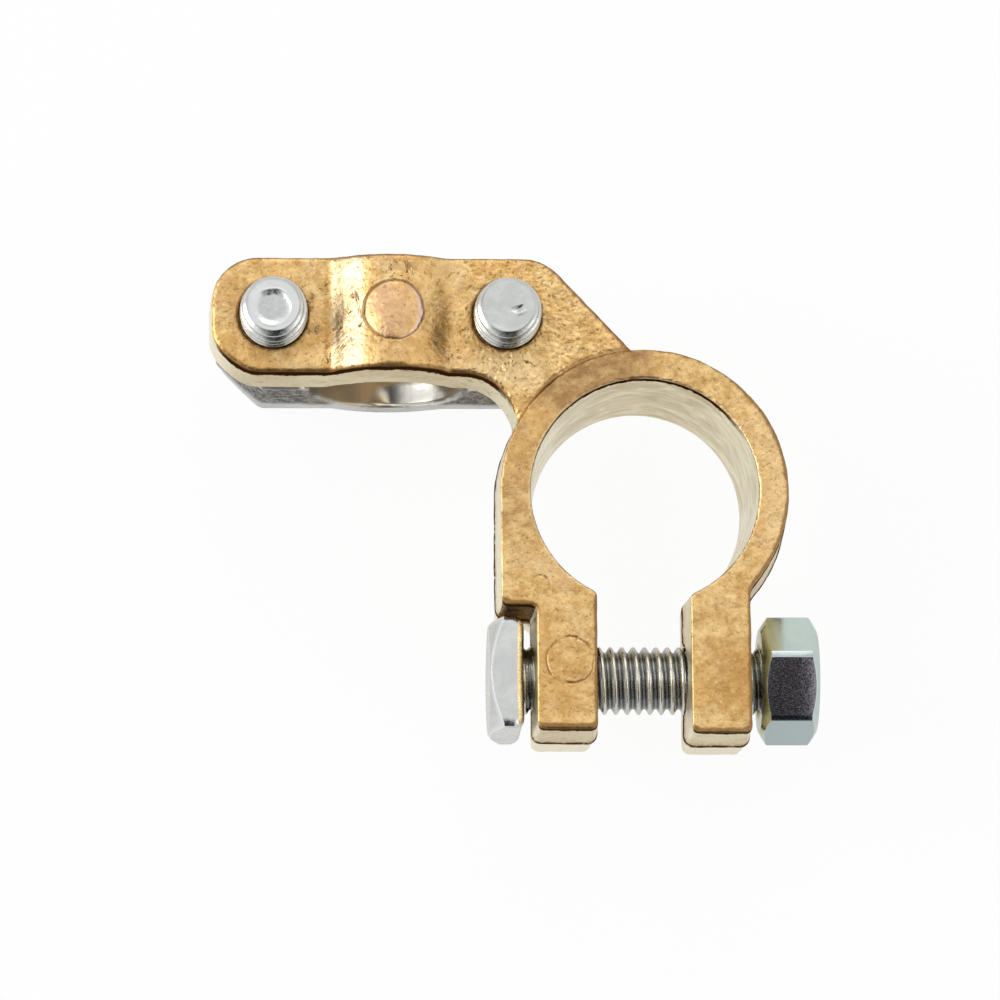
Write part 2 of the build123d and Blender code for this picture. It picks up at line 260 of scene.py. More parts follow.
def neighbour_mean(mesh, values, rounds):
    """Values averaged with their neighbours' along the mesh's edges, `rounds` times."""
    pairs = np.zeros(len(mesh.edges) * 2, np.int64)
    mesh.edges.foreach_get("vertices", pairs)
    a, b = pairs.reshape(-1, 2).T
    count = np.maximum(np.bincount(pairs, minlength=len(values)), 1)
    for _ in range(rounds):
        total = np.bincount(a, values[b], len(values)) + np.bincount(b, values[a], len(values))
        values = (values + total / count) / 2
    return values


def dress(obj, material, node, body):
    obj.data.materials.clear()
    obj.data.materials.append(material)
    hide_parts(node)
    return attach(obj, body)


# ---- node helpers ---------------------------------------------------------------------------
class Nodes:
    """A node tree, with one short call for each kind of node."""

    def __init__(self, tree):
        self.tree = tree

    def node(self, kind, inputs=None, **settings):
        made = self.tree.nodes.new(kind)
        for key, value in settings.items():
            setattr(made, key, value)
        for key, value in (inputs or {}).items():
            self.put(made.inputs[key], value)
        return made

    def put(self, socket, value):
        if isinstance(value, bpy.types.NodeSocket):
            self.tree.links.new(value, socket)
        else:
            socket.default_value = value

    def math(self, operation, a, b=0.0, c=0.0):
        inputs = {0: a, 1: b, 2: c}
        return self.node("ShaderNodeMath", inputs, operation=operation).outputs[0]

    def total(self, *terms):
        """The sum of terms, each a value or a (value, weight) pair."""
        result = 0.0
        for term in terms:
            value, weight = term if isinstance(term, tuple) else (term, 1.0)
            result = self.math("MULTIPLY_ADD", value, weight, result)
        return result

    def times(self, *factors):
        result = factors[0]
        for factor in factors[1:]:
            result = self.math("MULTIPLY", result, factor)
        return result

    def most(self, *values):
        """The largest of the values."""
        result = values[0]
        for value in values[1:]:
            result = self.math("MAXIMUM", result, value)
        return result

    def without(self, value):
        """1 less the value."""
        return self.math("SUBTRACT", 1.0, value)

    def size_of(self, value):
        return self.math("ABSOLUTE", value)

    def split(self, vector):
        return self.node("ShaderNodeSeparateXYZ", {0: vector}).outputs

    def band(self, value, low, high, to_low=0.0, to_high=1.0):
        """`to_low` at `low` and `to_high` at `high`, with a soft rise between them."""
        inputs = {"Value": value, "From Min": low, "From Max": high}
        inputs.update({"To Min": to_low, "To Max": to_high})
        made = self.node("ShaderNodeMapRange", inputs, interpolation_type="SMOOTHSTEP")
        return made.outputs[0]

    def line(self, value, middle, half_width):
        """1 where a value is at `middle`, down to 0 at `half_width` from it."""
        off = self.size_of(self.math("SUBTRACT", value, middle))
        return self.band(off, 0.0, half_width, 1.0, 0.0)

    def mix(self, factor, a, b):
        made = self.node("ShaderNodeMix", data_type="RGBA")
        for key, value in (("Factor_Float", factor), ("A_Color", a), ("B_Color", b)):
            socket = next(s for s in made.inputs if s.identifier == key)
            self.put(socket, value)
        return next(s for s in made.outputs if s.identifier == "Result_Color")

    def coat(self, color, *layers):
        """A colour with layers laid over it, each a (cover, colour) pair."""
        for cover, over in layers:
            color = self.mix(cover, color, over)
        return color


class Look(Nodes):
    """A material, with textures sized in mm."""

    def __init__(self, name):
        self.material = bpy.data.materials.new(name)
        self.material.use_nodes = True
        super().__init__(self.material.node_tree)
        self.shader = self.tree.nodes["Principled BSDF"]
        coordinates = self.node("ShaderNodeTexCoord")
        self.place = coordinates.outputs["Object"]
        self.facing = coordinates.outputs["Normal"]

    def noise(self, size_mm, detail=4.0, roughness=0.55, distortion=0.0, stretch=None):
        place = self.place
        if stretch:
            place = self.node("ShaderNodeMapping", {"Vector": place, "Scale": stretch}).outputs[0]
        inputs = {"Vector": place, "Scale": 1 / (size_mm * MM), "Detail": detail}
        inputs.update({"Roughness": roughness, "Distortion": distortion})
        return self.node("ShaderNodeTexNoise", inputs).outputs["Fac"]

    def cells(self, size_mm):
        inputs = {"Vector": self.place, "Scale": 1 / (size_mm * MM)}
        return self.node("ShaderNodeTexVoronoi", inputs, feature="SMOOTH_F1").outputs["Distance"]

    def attribute(self, name):
        return self.node("ShaderNodeAttribute", attribute_name=name).outputs["Fac"]

    def distance(self, x, y):
        """Distance in mm, seen from above, from a point given in mm."""
        px, py, _ = self.split(self.place)
        dx = self.math("SUBTRACT", px, x * MM)
        dy = self.math("SUBTRACT", py, y * MM)
        squared = self.total((dx, dx), (dy, dy))
        return self.math("MULTIPLY", self.math("SQRT", squared), 1 / MM)

    def bump(self, height_mm):
        inputs = {"Height": height_mm, "Strength": 1.0, "Distance": MM}
        return self.node("ShaderNodeBump", inputs).outputs[0]

    def finish(self, **sockets):
        for key, value in sockets.items():
            self.put(self.shader.inputs[key.replace("_", " ")], value)
        return self.material


# ---- materials ------------------------------------------------------------------------------
class Brass(Look):
    """Forged brass: mottled gold faces, pale steep walls with a painted reflection, a turned bore,
    oxide and painted shade at the edges.
    """

    def __init__(self):
        super().__init__("forged_brass")
        self.nx, self.ny, self.nz = self.split(self.facing)
        self.patches = self.noise(7.0, 3.0, 0.6, 0.4)
        self.blotch = self.noise(2.6, 4.0, 0.6, 0.6)
        self.mottle = self.noise(1.3, 5.0, 0.65)
        self.speckle = self.noise(0.42, 4.0, 0.7)
        self.grain = self.noise(0.17, 2.0, 0.6)
        self.bore, self.arm, self.drop = (self.attribute(name) for name in ("bore", "arm", "drop"))
        self.coarse = self.attribute("coarse")
        self.unbored = self.without(self.bore)
        self.ring_only = self.without(self.most(self.arm, self.bore))
        self.wall = self.band(self.size_of(self.nz), 0.75, 0.35)
        self.top = self.band(self.nz, 0.5, 0.8)
        glance = self.node("ShaderNodeLayerWeight", {"Blend": 0.5}).outputs["Facing"]
        self.steep = self.band(glance, 0.40, 0.72)
        self.build_marks()
        self.build_edges(glance)
        self.build_shade_and_dirt()
        self.put_together()

    def build_marks(self):
        """Outlines of the pin marks, wandering a little and mostly broken, and the gouges."""
        wander = self.total((self.noise(1.2, 3.0), 0.36), -0.18)
        broken = self.band(self.blotch, 0.38, 0.55, 0.12, 1.0)
        outline, self.sink = 0.0, 0.0
        for mark in (LUG_MARK, RING_MARK, SADDLE_MARK):
            x, y, radius, depth = mark
            reach = self.math("ADD", self.distance(x, y), wander)
            gaps = 1.0 if mark is SADDLE_MARK else broken
            ring = self.times(self.line(reach, radius, 0.20), self.top, gaps)
            outline = self.most(outline, self.times(ring, min(1.0, depth * 18)))
            self.sink = self.total(self.sink, (ring, depth))
        self.disc = self.times(self.band(reach, 2.68, 2.6), self.top)
        beside = self.distance(SADDLE_MARK[0] - 0.9, SADDLE_MARK[1] + 0.1)
        inside = self.band(reach, 2.85, 2.6)
        self.crescent = self.times(self.band(beside, 2.9, 3.4), inside, self.top)
        gouges = self.band(self.noise(0.80, 3.0, 0.75, 1.0, (1.0, 0.5, 1.0)), 0.455, 0.37)
        self.gouges = self.times(gouges, self.attribute("flaw"))
        self.lines = self.most(self.times(outline, 0.8), self.times(self.gouges, 0.85))

    def build_edges(self, glance):
        """Dark edges: a ragged near-black rim, darkest on the edges that face -y, and a brown
        fringe, each partly oxide and partly painted shade and kept off the edges that face -x
        towards the key lamp; and the seam.
        """
        ragged = self.total((self.speckle, 1.0), (self.mottle, 1.0), -0.5)
        # painted shade: the rim is darkest on edges that face -y
        front = self.band(self.total((self.ny, -1.0), (self.nx, 0.25)), 0.15, 0.6)
        low_end = self.total((self.arm, 0.25), (ragged, 0.95), 0.35)
        above = self.band(self.math("SUBTRACT", self.drop, low_end), 0.12, -0.12)
        rim = self.times(self.band(self.drop, 0.05, 0.16), above)
        off_face = self.band(self.total(self.nz, (ragged, -0.25)), 0.80, 0.62)
        rim = self.times(rim, off_face, front)
        rounded = self.times(self.band(self.nz, 0.60, 0.40), self.band(self.nz, 0.05, 0.2))
        outer = self.times(rounded, self.band(ragged, 0.1, 0.6), 0.75)
        # the rounded edges get the rim's painted shade too, except where they face -x towards the
        # key lamp
        leftward = self.band(self.total((self.nx, -1.0), (self.ny, -0.2)), 0.75, 0.45)
        rim = self.most(rim, self.times(outer, leftward))
        self.rim = self.times(rim, self.band(glance, 0.12, 0.45, 0.5, 1.0))
        # the fringe: partly oxide, partly painted shade
        edge_nearness = self.total(self.attribute("edge"), (self.speckle, 0.9), (self.mottle, 0.5))
        self.fringe = self.band(edge_nearness, 0.95, 1.40)
        middle = self.total((self.mottle, 0.40), -PARTING_Z - 0.20)
        seam = self.times(self.line(self.drop, middle, 0.75), self.wall)
        seam = self.times(seam, 2.2, self.band(self.speckle, 0.36, 0.5))
        self.seam = self.times(self.math("MINIMUM", seam, 1.0), self.ring_only)
        dusting = self.times(self.line(self.drop, -PARTING_Z - 0.9, 1.4), self.wall)
        self.dusting = self.times(dusting, self.band(self.speckle, 0.42, 0.58), self.ring_only)

    def build_shade_and_dirt(self):
        """Painted shade under the shoulder and on the ring's wall by the right lug, soiled places,
        and pits.
        """
        shaded = self.most(self.attribute("shade"), self.times(self.attribute("dim"), self.steep))
        shaded = self.band(self.total(shaded, (self.mottle, 0.6)), 0.55, 1.0)
        self.shaded = self.times(shaded, self.band(self.speckle, 0.62, 0.52, 0.35, 1.0))
        soiled = self.total(self.attribute("grime"), (self.speckle, 0.9))
        self.soiled = self.band(soiled, 0.78, 1.05)
        pits = self.band(self.noise(0.62, 4.0, 0.8, 0.5), 0.40, 0.33)
        self.pits = self.times(pits, self.total((self.coarse, 0.80), 0.20), self.unbored)

    def faces(self):
        """Gold of the upper faces: mottled and stained, with a painted highlight on the saddle's
        left flank.
        """
        tone = BRASS_TONE
        gold = self.mix(self.band(self.mottle, 0.36, 0.64), tone["light gold"], tone["deep gold"])
        warm = self.times(self.attribute("warm"), self.band(self.mottle, 0.3, 0.6, 0.45, 1.0))
        stain = self.times(self.attribute("stain"), self.band(self.mottle, 0.3, 0.7, 0.5, 1.0))
        # painted highlight: the saddle's left flank made pale where the key lamp shines on it
        flank_highlight = self.times(self.attribute("bright"), self.band(self.speckle, 0.36, 0.46))
        return self.coat(
            gold,
            (self.times(self.band(self.patches, 0.42, 0.62), 0.55), tone["orange patch"]),
            (self.times(self.band(self.blotch, 0.50, 0.66), 0.45), tone["buff patch"]),
            (self.times(self.attribute("pale"), 0.7), tone["pale patch"]),
            (warm, tone["warm patch"]),
            (self.times(self.band(self.speckle, 0.55, 0.70), 0.6), tone["bright speck"]),
            (self.times(self.band(self.speckle, 0.46, 0.33), 0.7), tone["brown speck"]),
            (stain, tone["stain"]),
            (self.times(self.disc, self.band(self.blotch, 0.4, 0.6, 0.15, 0.6)), tone["pin mark"]),
            (self.times(self.crescent, 0.8), tone["pin mark, pink side"]),
            (flank_highlight, tone["flank highlight"]),
        )

    def walls(self):
        """The drafted sides: golden face on, and pale at a glancing angle, a painted reflection of
        the white surroundings, palest where they face -x towards the key lamp.
        """
        tone = BRASS_TONE
        dull = self.band(self.patches, 0.35, 0.65)
        upper = self.mix(dull, tone["upper wall"], tone["upper wall, dull"])
        below = self.band(self.drop, -PARTING_Z, -PARTING_Z + 0.5)
        sides = self.coat(
            upper,
            (below, tone["lower wall"]),
            (self.times(self.band(self.nx, 0.4, 0.9), 0.8), tone["wall towards +x"]),
            # painted light: walls facing -x, towards the key lamp, made palest
            (self.times(self.band(self.nx, -0.4, -0.9), 0.8), tone["wall towards -x"]),
        )
        deep = self.band(self.mottle, 0.35, 0.65)
        face_on = self.mix(deep, tone["wall face on"], tone["wall face on, deep"])
        # the pale tones show only at a glance, as a painted reflection
        sides = self.mix(self.steep, face_on, sides)
        return self.mix(self.times(self.dusting, 0.8), sides, tone["dusting"])

    def turning(self):
        """The machined bore: pale, with soft smears and a few scored lines round it."""
        tone = BRASS_TONE
        smear = self.noise(3.0, 3.0, 0.5, 0.8, (1.0, 1.0, 2.0))
        smear = self.total(smear, (self.attribute("bore_stain"), 0.14))
        turned = self.mix(self.band(smear, 0.30, 0.92), tone["turned"], tone["turned, smeared"])
        scored = self.band(self.noise(1.1, 4.0, 0.75, 0.4, (1.0, 1.0, 3.0)), 0.37, 0.30)
        scored = self.times(scored, self.band(self.ny, -0.2, -0.7), 0.55)
        return self.mix(scored, turned, tone["turned, scored"])

    def put_together(self):
        tone = BRASS_TONE
        color = self.coat(
            self.faces(),
            (self.wall, self.walls()),
            (self.bore, self.turning()),
            (self.shaded, tone["shade"]),
            (self.soiled, tone["grime"]),
            (self.times(self.pits, 0.85), tone["pit"]),
            (self.lines, tone["outline"]),
            (self.times(self.fringe, 0.85), tone["fringe"]),
            (self.times(self.seam, 0.9), tone["seam"]),
            (self.rim, tone["rim"]),
        )
        # the edges' oxide and the painted shade tint the glancing reflection brown
        oxide_and_shade = self.most(self.rim, self.times(self.shaded, 0.8), self.seam)
        oxide_and_shade = self.most(oxide_and_shade, self.times(self.fringe, 0.6))
        glancing = self.mix(oxide_and_shade, WHITE, tone["oxide and shade at a glance"])
        rough = self.band(self.speckle, 0.3, 0.7, 0.28, 0.44)
        rough = self.coat(rough, (self.rim, grey(0.8)), (self.bore, grey(0.26)))
        lumps = self.times(self.cells(0.38), self.coarse)
        relief = self.total(
            (self.mottle, 0.09),
            (self.speckle, 0.028),
            (self.grain, 0.008),
            (self.pits, -0.07),
            (lumps, 0.095),
            (self.times(self.grain, self.coarse), 0.02),
            (self.sink, -1.0),
            (self.gouges, -0.12),
        )
        relief = self.times(relief, self.total(1.0, (self.bore, -0.86)))
        relief = self.total(relief, (self.seam, 0.05))
        sockets = {"Base_Color": color, "Specular_Tint": glancing, "Roughness": rough}
        self.finish(Metallic=1.0, Normal=self.bump(relief), **sockets)


def grey(level):
    return (level, level, level, 1)


def zinc(name, clean, filmed, roughness, grain_mm, relief=0.012, deep=0.9, painted_facets=0.0):
    """Zinc plate with a grey film, pale bare plate and a painted highlight line at the edges, and
    painted shade in the recesses, as strong as `deep`.

    Set to 1, the last argument gives each facet of a nut that lies along x its own tint by its
    direction: painted reflection and shade, darker on the corners and on the facet turned towards
    -y.
    """
    look = Look(name)
    nx, ny, nz = look.split(look.facing)
    tone = ZINC_TONE
    side_on = look.times(look.band(look.size_of(nx), 0.25, 0.12), painted_facets)
    facing_up = look.band(nz, 0.0, 0.3)
    film = look.noise(2.4, 3.0, 0.6, 0.6)
    grain = look.noise(grain_mm, 4.0, 0.6)
    scars = look.band(look.noise(1.1, 4.0, 0.7, 0.8), 0.34, 0.28)
    color = look.coat(
        look.mix(look.band(film, 0.35, 0.65), clean, filmed),
        # painted reflection and shade: each facet of the nut tinted by its direction
        (look.times(look.line(ny, -0.25, 0.22), side_on, facing_up), tone["nut, front facet"]),
        (look.times(look.band(ny, -0.85, -0.92), side_on), tone["nut, side facet"]),
        (look.times(look.line(ny, -0.70, 0.16), side_on, facing_up), tone["nut, front corner"]),
        (look.times(look.line(ny, 0.27, 0.18), side_on, facing_up), tone["nut, back corner"]),
        (look.attribute("bare"), tone["bare plate, edge highlight"]),
        (look.times(scars, 0.35), tone["scar"]),
        # painted shade in the recesses
        (look.times(look.attribute("recess"), deep), tone["recess"]),
    )
    rough = look.band(grain, 0.3, 0.7, roughness - 0.07, roughness + 0.08)
    height = look.total((grain, relief), (film, relief * 3), (scars, -relief))
    return look.finish(Base_Color=color, Metallic=1.0, Roughness=rough, Normal=look.bump(height))


def strap_steel():
    """The strap: torn dark flanks, a smooth sheared band below them and a polished groove."""
    look = Look("strap_steel")
    tone = STRAP_TONE
    film = look.noise(2.2, 3.0, 0.6, 0.6)
    grit = look.noise(0.60, 4.0, 0.75)
    fleck = look.noise(0.27, 3.0, 0.6)
    torn, polished = look.attribute("torn"), look.attribute("polished")
    plate = look.mix(look.band(film, 0.35, 0.65), tone["plate"], tone["plate, dull"])
    groove = look.mix(look.band(film, 0.3, 0.7), tone["groove"], tone["groove, yellowed"])
    dark = look.mix(look.band(grit, 0.42, 0.62), tone["torn"], tone["torn, worn"])
    dark = look.mix(look.band(fleck, 0.60, 0.70), dark, tone["fleck"])
    color = look.coat(plate, (polished, groove), (torn, dark))
    rough = look.coat(grey(0.36), (polished, grey(0.30)), (torn, grey(0.5)))
    tears, flecks = look.times(grit, torn), look.times(fleck, torn)
    height = look.total((tears, 0.26), (flecks, 0.06), (film, 0.03), (grit, 0.01))
    return look.finish(Base_Color=color, Metallic=1.0, Roughness=rough, Normal=look.bump(height))


BRASS = Brass().material
ZINC_BOLT = zinc("zinc_bolt", (0.68, 0.68, 0.65, 1), (0.58, 0.60, 0.59, 1), 0.24, 0.35, deep=0.75)
ZINC_SCREW = zinc(
    "zinc_screw", (0.63, 0.645, 0.63, 1), (0.54, 0.555, 0.54, 1), 0.27, 0.30, deep=0.75
)
ZINC_NUT = zinc(
    "zinc_nut", (0.55, 0.65, 0.60, 1), (0.52, 0.61, 0.58, 1), 0.17, 0.16, 0.002, painted_facets=1.0
)
STRAP_STEEL = strap_steel()


# ---- forging and strap ----------------------------------------------------------------------
def fine_copy(node, name, voxel_mm):
    """A closed, evenly divided copy of a CAD node, laid back on the node's own surface."""
    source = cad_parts[node]
    obj = link(name, source.data.copy())
    remesh = obj.modifiers.new("remesh", "REMESH")
    remesh.mode = "VOXEL"
    remesh.voxel_size = voxel_mm * MM
    wrap = obj.modifiers.new("wrap", "SHRINKWRAP")
    wrap.target = source
    wrap.wrap_method = "NEAREST_SURFACEPOINT"
    obj.data = baked(obj)
    obj.modifiers.clear()
    obj.data.shade_smooth()
    return obj


def forging_fields(mesh, p, n):
    """Where the forging is turned, stained, soiled and worn, where shade and a highlight are
    painted on it, and how near its edges are, for each of its points.
    """
    x, y, z = p.T
    radius = np.hypot(x, y)
    angle = np.degrees(np.arctan2(y, x))
    off_bore = np.abs(radius - BORE_RADIUS - z * BORE_SLOPE)
    in_bore = (off_bore < 0.3) & (np.abs(n[:, 2]) < 0.5) & (y > -9.3)
    bore = neighbour_mean(mesh, np.where(in_bore, 1.0, 0.0), 2)
    arm = np.where((radius > RING_RADIUS + 0.45) & (y > 3.0), 1.0, 0.0)
    top = smooth(0.6, 0.85, n[:, 2])
    ring_top = top * (1 - arm)
    is_wall = np.abs(n[:, 2]) < 0.6
    ripple = 0.25 * noise_at(p * (1, 1, 0), 0.8, 6)

    # depth below the upper face, which arches over the saddle
    hump = SADDLE_RADIUS**2 - np.minimum((x - SADDLE_X) ** 2, SADDLE_RADIUS**2)
    arched = ARM_TOP_Z + SADDLE_RISE - SADDLE_RADIUS + np.sqrt(hump)
    drop = np.where(arm > 0.5, np.maximum(ARM_TOP_Z, arched), 0.0) - z

    # the ring is stained brown at its far side, and faintly on its left
    left_side = smooth(120, 160, np.abs(angle)) * smooth(-7.0, -2.0, y)
    stain = np.maximum(span(angle, 78, 95, 128, 152), 0.35 * left_side) * ring_top

    # painted shade under the shoulder by the bolt's head, and on the ring's wall by the right lug,
    # which shows only at a glance
    under_shoulder = (np.abs(y - SHOULDER_Y) < 0.5) & (x < -8.5) & (n[:, 1] < -0.6)
    shade = np.where(under_shoulder, smooth(10.5, 5.5, drop), 0.0)
    dim = 0.35 * smooth(12.2, 12.6, radius) * span(angle, -68, -50, -28, -8) * is_wall

    # warm and pale gold; a warm stripe runs up beside the saddle
    stripe = smooth(-28.1, -27.9, x) * smooth(-27.2, -27.5, x + ripple)
    warm = spots(x, y, WARM) + 0.6 * stripe * arm
    pale = 0.6 * smooth(9.0, 11.5, x) * (y > -8) + spots(x, y, PALE)

    # how near a point of the upper faces is to an edge, by the walls that show round it; walls
    # facing -x, towards the key lamp, count for nothing, so the fringe's painted shade stays off
    # those edges
    facing = np.where(is_wall & (bore < 0.5), 1.0, 0.0)
    near_y, near_x = (neighbour_mean(mesh, facing * n[:, k], 13) for k in (1, 0))
    edge = np.maximum.reduce([-(3.2 - 1.4 * arm) * near_y, 1.5 * near_x, 0.8 * near_y])
    return {
        "bore": bore,
        "arm": arm,
        "drop": drop,
        "coarse": np.where(arm > 0.5, 0.35 + 0.65 * smooth(-18.5, -13.0, x), 0.28),
        "stain": stain,
        "shade": shade,
        "flaw": spots(x, y, GOUGED) * top,
        "grime": spots(x, y, GRIMY) * top,
        "bore_stain": span(angle, 35, 60, 125, 150),
        # painted highlight on the saddle's left flank
        "bright": 0.45 * span(x + ripple, *LIT_FLANK) * top * arm,
        "warm": warm * top,
        "pale": pale * top,
        "edge": 2 * edge * (n[:, 2] > 0.3),
        "dim": dim,
    }


def forging_lift(p, n, fields):
    """How far each point stands off the CAD surface: a rough skin, marks, gouges and the seam."""
    x, y, z = p.T
    arm, bore, coarse, flaw = (fields[name] for name in ("arm", "bore", "coarse", "flaw"))
    top = smooth(0.6, 0.85, n[:, 2])
    lift = 0.045 * noise_at(p, 1.5, 1) + 0.03 * noise_at(p, 0.7, 2) * (0.4 + coarse)
    off = np.hypot(x - SADDLE_MARK[0], y - SADDLE_MARK[1])
    dome = 0.06 * smooth(2.7, 2.3, off) + 0.20 * np.maximum(0.0, 1 - (off / 2.7) ** 2)
    lip = 0.05 * smooth(0.35, 0.0, np.abs(off - 2.75)) * (x > -21.5)
    lift += top * arm * (dome + lip)
    off = np.hypot(x - LUG_MARK[0], y - LUG_MARK[1])
    lift += top * (1 - arm) * 0.04 * smooth(2.1, 1.9, off)
    lift -= 0.10 * flaw * np.abs(noise_at(p * (1, 0.5, 1), 0.9, 5))
    lift *= 1 - 0.9 * bore
    seam = smooth(0.3, 0.05, np.abs(z - PARTING_Z)) * (np.abs(n[:, 2]) < 0.4) * (1 - arm)
    lift += 0.07 * seam * (1 - bore) * (1 + 0.5 * noise_at(p, 1.1, 4))
    by_bolt_head = (x < -8.8) & (np.abs(y - BOLT_Y) < 6.0) & (n[:, 0] < -0.3)
    return np.where(by_bolt_head, np.minimum(lift, 0.0), lift)


def ease_near_corner(p):
    """Round the arm's near end corner off a little further than its plain radius."""
    toward_x, toward_y = np.minimum(p[:, 0] + 33.6, 0.0), np.minimum(p[:, 1] - 14.6, 0.0)
    reach = np.hypot(toward_x, toward_y) + 1e-6
    diagonal = np.abs(2 * toward_x * toward_y / reach**2) ** 1.5
    pull = 0.45 * diagonal * smooth(1.5, 3.5, reach)
    p[:, 0] -= pull * toward_x / reach
    p[:, 1] -= pull * toward_y / reach


def forging():
    obj = fine_copy("clamp_body", "brass_forging", 0.22)
    mesh = obj.data
    p, n = points_of(mesh), normals_of(mesh)
    fields = forging_fields(mesh, p, n)
    give(mesh, **fields)
    p += n * forging_lift(p, n, fields)[:, None]
    ease_near_corner(p)
    move_to(mesh, p)
    return dress(obj, BRASS, "clamp_body", "body")


def strap():
    obj = fine_copy("cable_strap", "steel_strap", 0.2)
    mesh = obj.data
    p, n = points_of(mesh), normals_of(mesh)
    x, y, z = p.T
    in_groove = (np.abs(x - SADDLE_X) < 7.2) & (np.abs(y - ARM_Y) < 5.0) & (z < STRAP_TOP_Z + 0.2)
    upright = smooth(0.5, 0.8, np.hypot(n[:, 0], n[:, 1])) * smooth(0.35, 0.2, np.abs(n[:, 2]))
    ragged = 0.5 * noise_at(p * (1, 1, 0.3), 2.5, 7) + smooth(-33.0, -35.5, x)
    torn = upright * smooth(1.7, 2.3, z - STRAP_UNDER_Z + ragged)
    holes = [np.hypot(x - at, y - ARM_Y) for at in SCREW_X.values()]
    torn *= np.minimum(*holes) > 3.6
    torn = np.where(in_groove & (np.abs(n[:, 1]) < 0.5), 0.0, torn)
    polished = np.where(in_groove & (np.abs(n[:, 1]) < 0.3) & (n[:, 2] > -0.2), 1.0, 0.0)
    give(mesh, torn=neighbour_mean(mesh, torn, 2), polished=neighbour_mean(mesh, polished, 2))
    tears = 0.10 * noise_at(p, 0.9, 8) + 0.06 * noise_at(p, 0.45, 9) - 0.08
    lift = torn * tears + 0.02 * noise_at(p, 2.0, 10)
    p += n * lift[:, None]

    # the groove's near mouth dips
    near = smooth(13.2, 10.3, p[:, 1]) * span(p[:, 0], -24.0, -21.5, -18.0, -16.6)
    p[:, 2] -= 0.85 * near**1.2 * polished
    move_to(mesh, p)
    return dress(obj, STRAP_STEEL, "cable_strap", "strap")


# ---- fasteners ------------------------------------------------------------------------------
SIDES = 120
STEPS_PER_TURN = 18
CLOSE = 0.03                 # between the angles at a square's corner
ANGLES = [2 * pi * k / SIDES for k in range(SIDES)]
for corner in range(SIDES // 8, SIDES, SIDES // 4):
    ANGLES[corner - 1] = ANGLES[corner] - CLOSE
    ANGLES[corner + 1] = ANGLES[corner] + CLOSE


def ring_of(radius_at, z_at):
    """One ring of points; radius and height are numbers or functions of the angle."""
    ring = []
    for a in ANGLES:
        r = radius_at(a) if callable(radius_at) else radius_at
        z = z_at(a) if callable(z_at) else z_at
        ring.append((r * cos(a), r * sin(a), z))
    return ring


def lathe(rings, name, closed=False):
    """A mesh from rings of points, its two ends capped by fans, or joined if it is closed."""
    flat = np.array([point for ring in rings for point in ring])
    count = len(rings)
    faces = []
    for i in range(count if closed else count - 1):
        for k in range(SIDES):
            m = (k + 1) % SIDES
            a, b = i * SIDES, (i + 1) % count * SIDES
            faces.append((a + k, a + m, b + m, b + k))
    if not closed:
        first = len(flat)
        flat = np.vstack([flat, np.mean(rings[0], axis=0), np.mean(rings[-1], axis=0)])
        end = (count - 1) * SIDES
        for k in range(SIDES):
            m = (k + 1) % SIDES
            faces += [(first, m, k), (first + 1, end + k, end + m)]
    mesh = bpy.data.meshes.new(name)
    mesh.from_pydata((flat * MM).tolist(), [], faces)
    mesh.update()
    return mesh


def polygon_radius(angle, sides, across, rounding=0.03):
    """Distance from the axis to a regular polygon with eased corners, a flat at angle 0."""
    step = 2 * pi / sides
    off = abs((angle + step / 2) % step - step / 2)
    corner = across / 2 / cos(step / 2)
    flat = across / 2 / cos(off)
    return min(flat, corner - rounding / cos(step / 2))


def thread_depth(phase):
    """How far below its crest a rolled thread lies, over one turn: rounded crest and root."""
    t = abs(phase % 1.0 - 0.5) * 2
    return (CREST - ROOT) * float(smooth(0.10, 0.92, t))


def crest_at(depth):
    """The thread's crest radius at a depth below the end of its shank."""
    return CREST - END_FALL * np.maximum(0.0, 1 - depth / END_RUN) ** 2


def shank_rings(length):
    """Rings of the threaded shank up from its seat at z = 0, falling off to its point."""
    rings = []
    for i in range(int(length / PITCH * STEPS_PER_TURN) + 1):
        z = i * PITCH / STEPS_PER_TURN
        fade = min(1.0, z / 0.8) * min(1.0, 0.3 + (length - z) / 0.7)
        crest = float(crest_at(length - z))
        rings.append(ring_of(lambda a: crest - fade * thread_depth(z / PITCH - a / (2 * pi)), z))
    return rings


def head_rings(flat, height, bevel_start, seat_round):
    """Rings of a head: flat outer face, bevel, sides that follow `flat`, rounded seat edge."""
    bevel = lambda a: -height + max(0.0, flat(a) - bevel_start) * tan(radians(BEVEL))
    rings = [
        ring_of(bevel_start * 0.5, -height),
        ring_of(bevel_start - 0.12, -height),
        ring_of(bevel_start + 0.05, -height + 0.02),
        ring_of(lambda a: (bevel_start + flat(a)) / 2, lambda a: (bevel(a) - height) / 2),
        ring_of(lambda a: flat(a) - 0.05, lambda a: bevel(a) - 0.015),
        ring_of(flat, lambda a: bevel(a) + 0.04),
        ring_of(flat, lambda a: bevel(a) + 0.13),
    ]
    for i in range(6):
        t = i / 5 * pi / 2
        inset, rise = seat_round * (1 - cos(t)), seat_round * (sin(t) - 1)
        rings.append(ring_of(lambda a: flat(a) - inset, rise))
    return rings + [ring_of(CREST + 0.3, 0.0)]


HEAD_EDGE = (4, 5)           # the rings above at a head's outer edge, painted pale: partly worn plate, partly a painted highlight line


def end_rings(length, depth_at):
    """Rings across the end of a shank, sunk by depth_at(x, y) but for its rim."""
    rings = []
    for r in np.linspace(END_RADIUS, 0.08, 28):
        inner = float(smooth(END_RADIUS, END_RADIUS - 0.25, r))
        rings.append(ring_of(float(r), lambda a: length - depth_at(r * cos(a), r * sin(a)) * inner))
    return rings


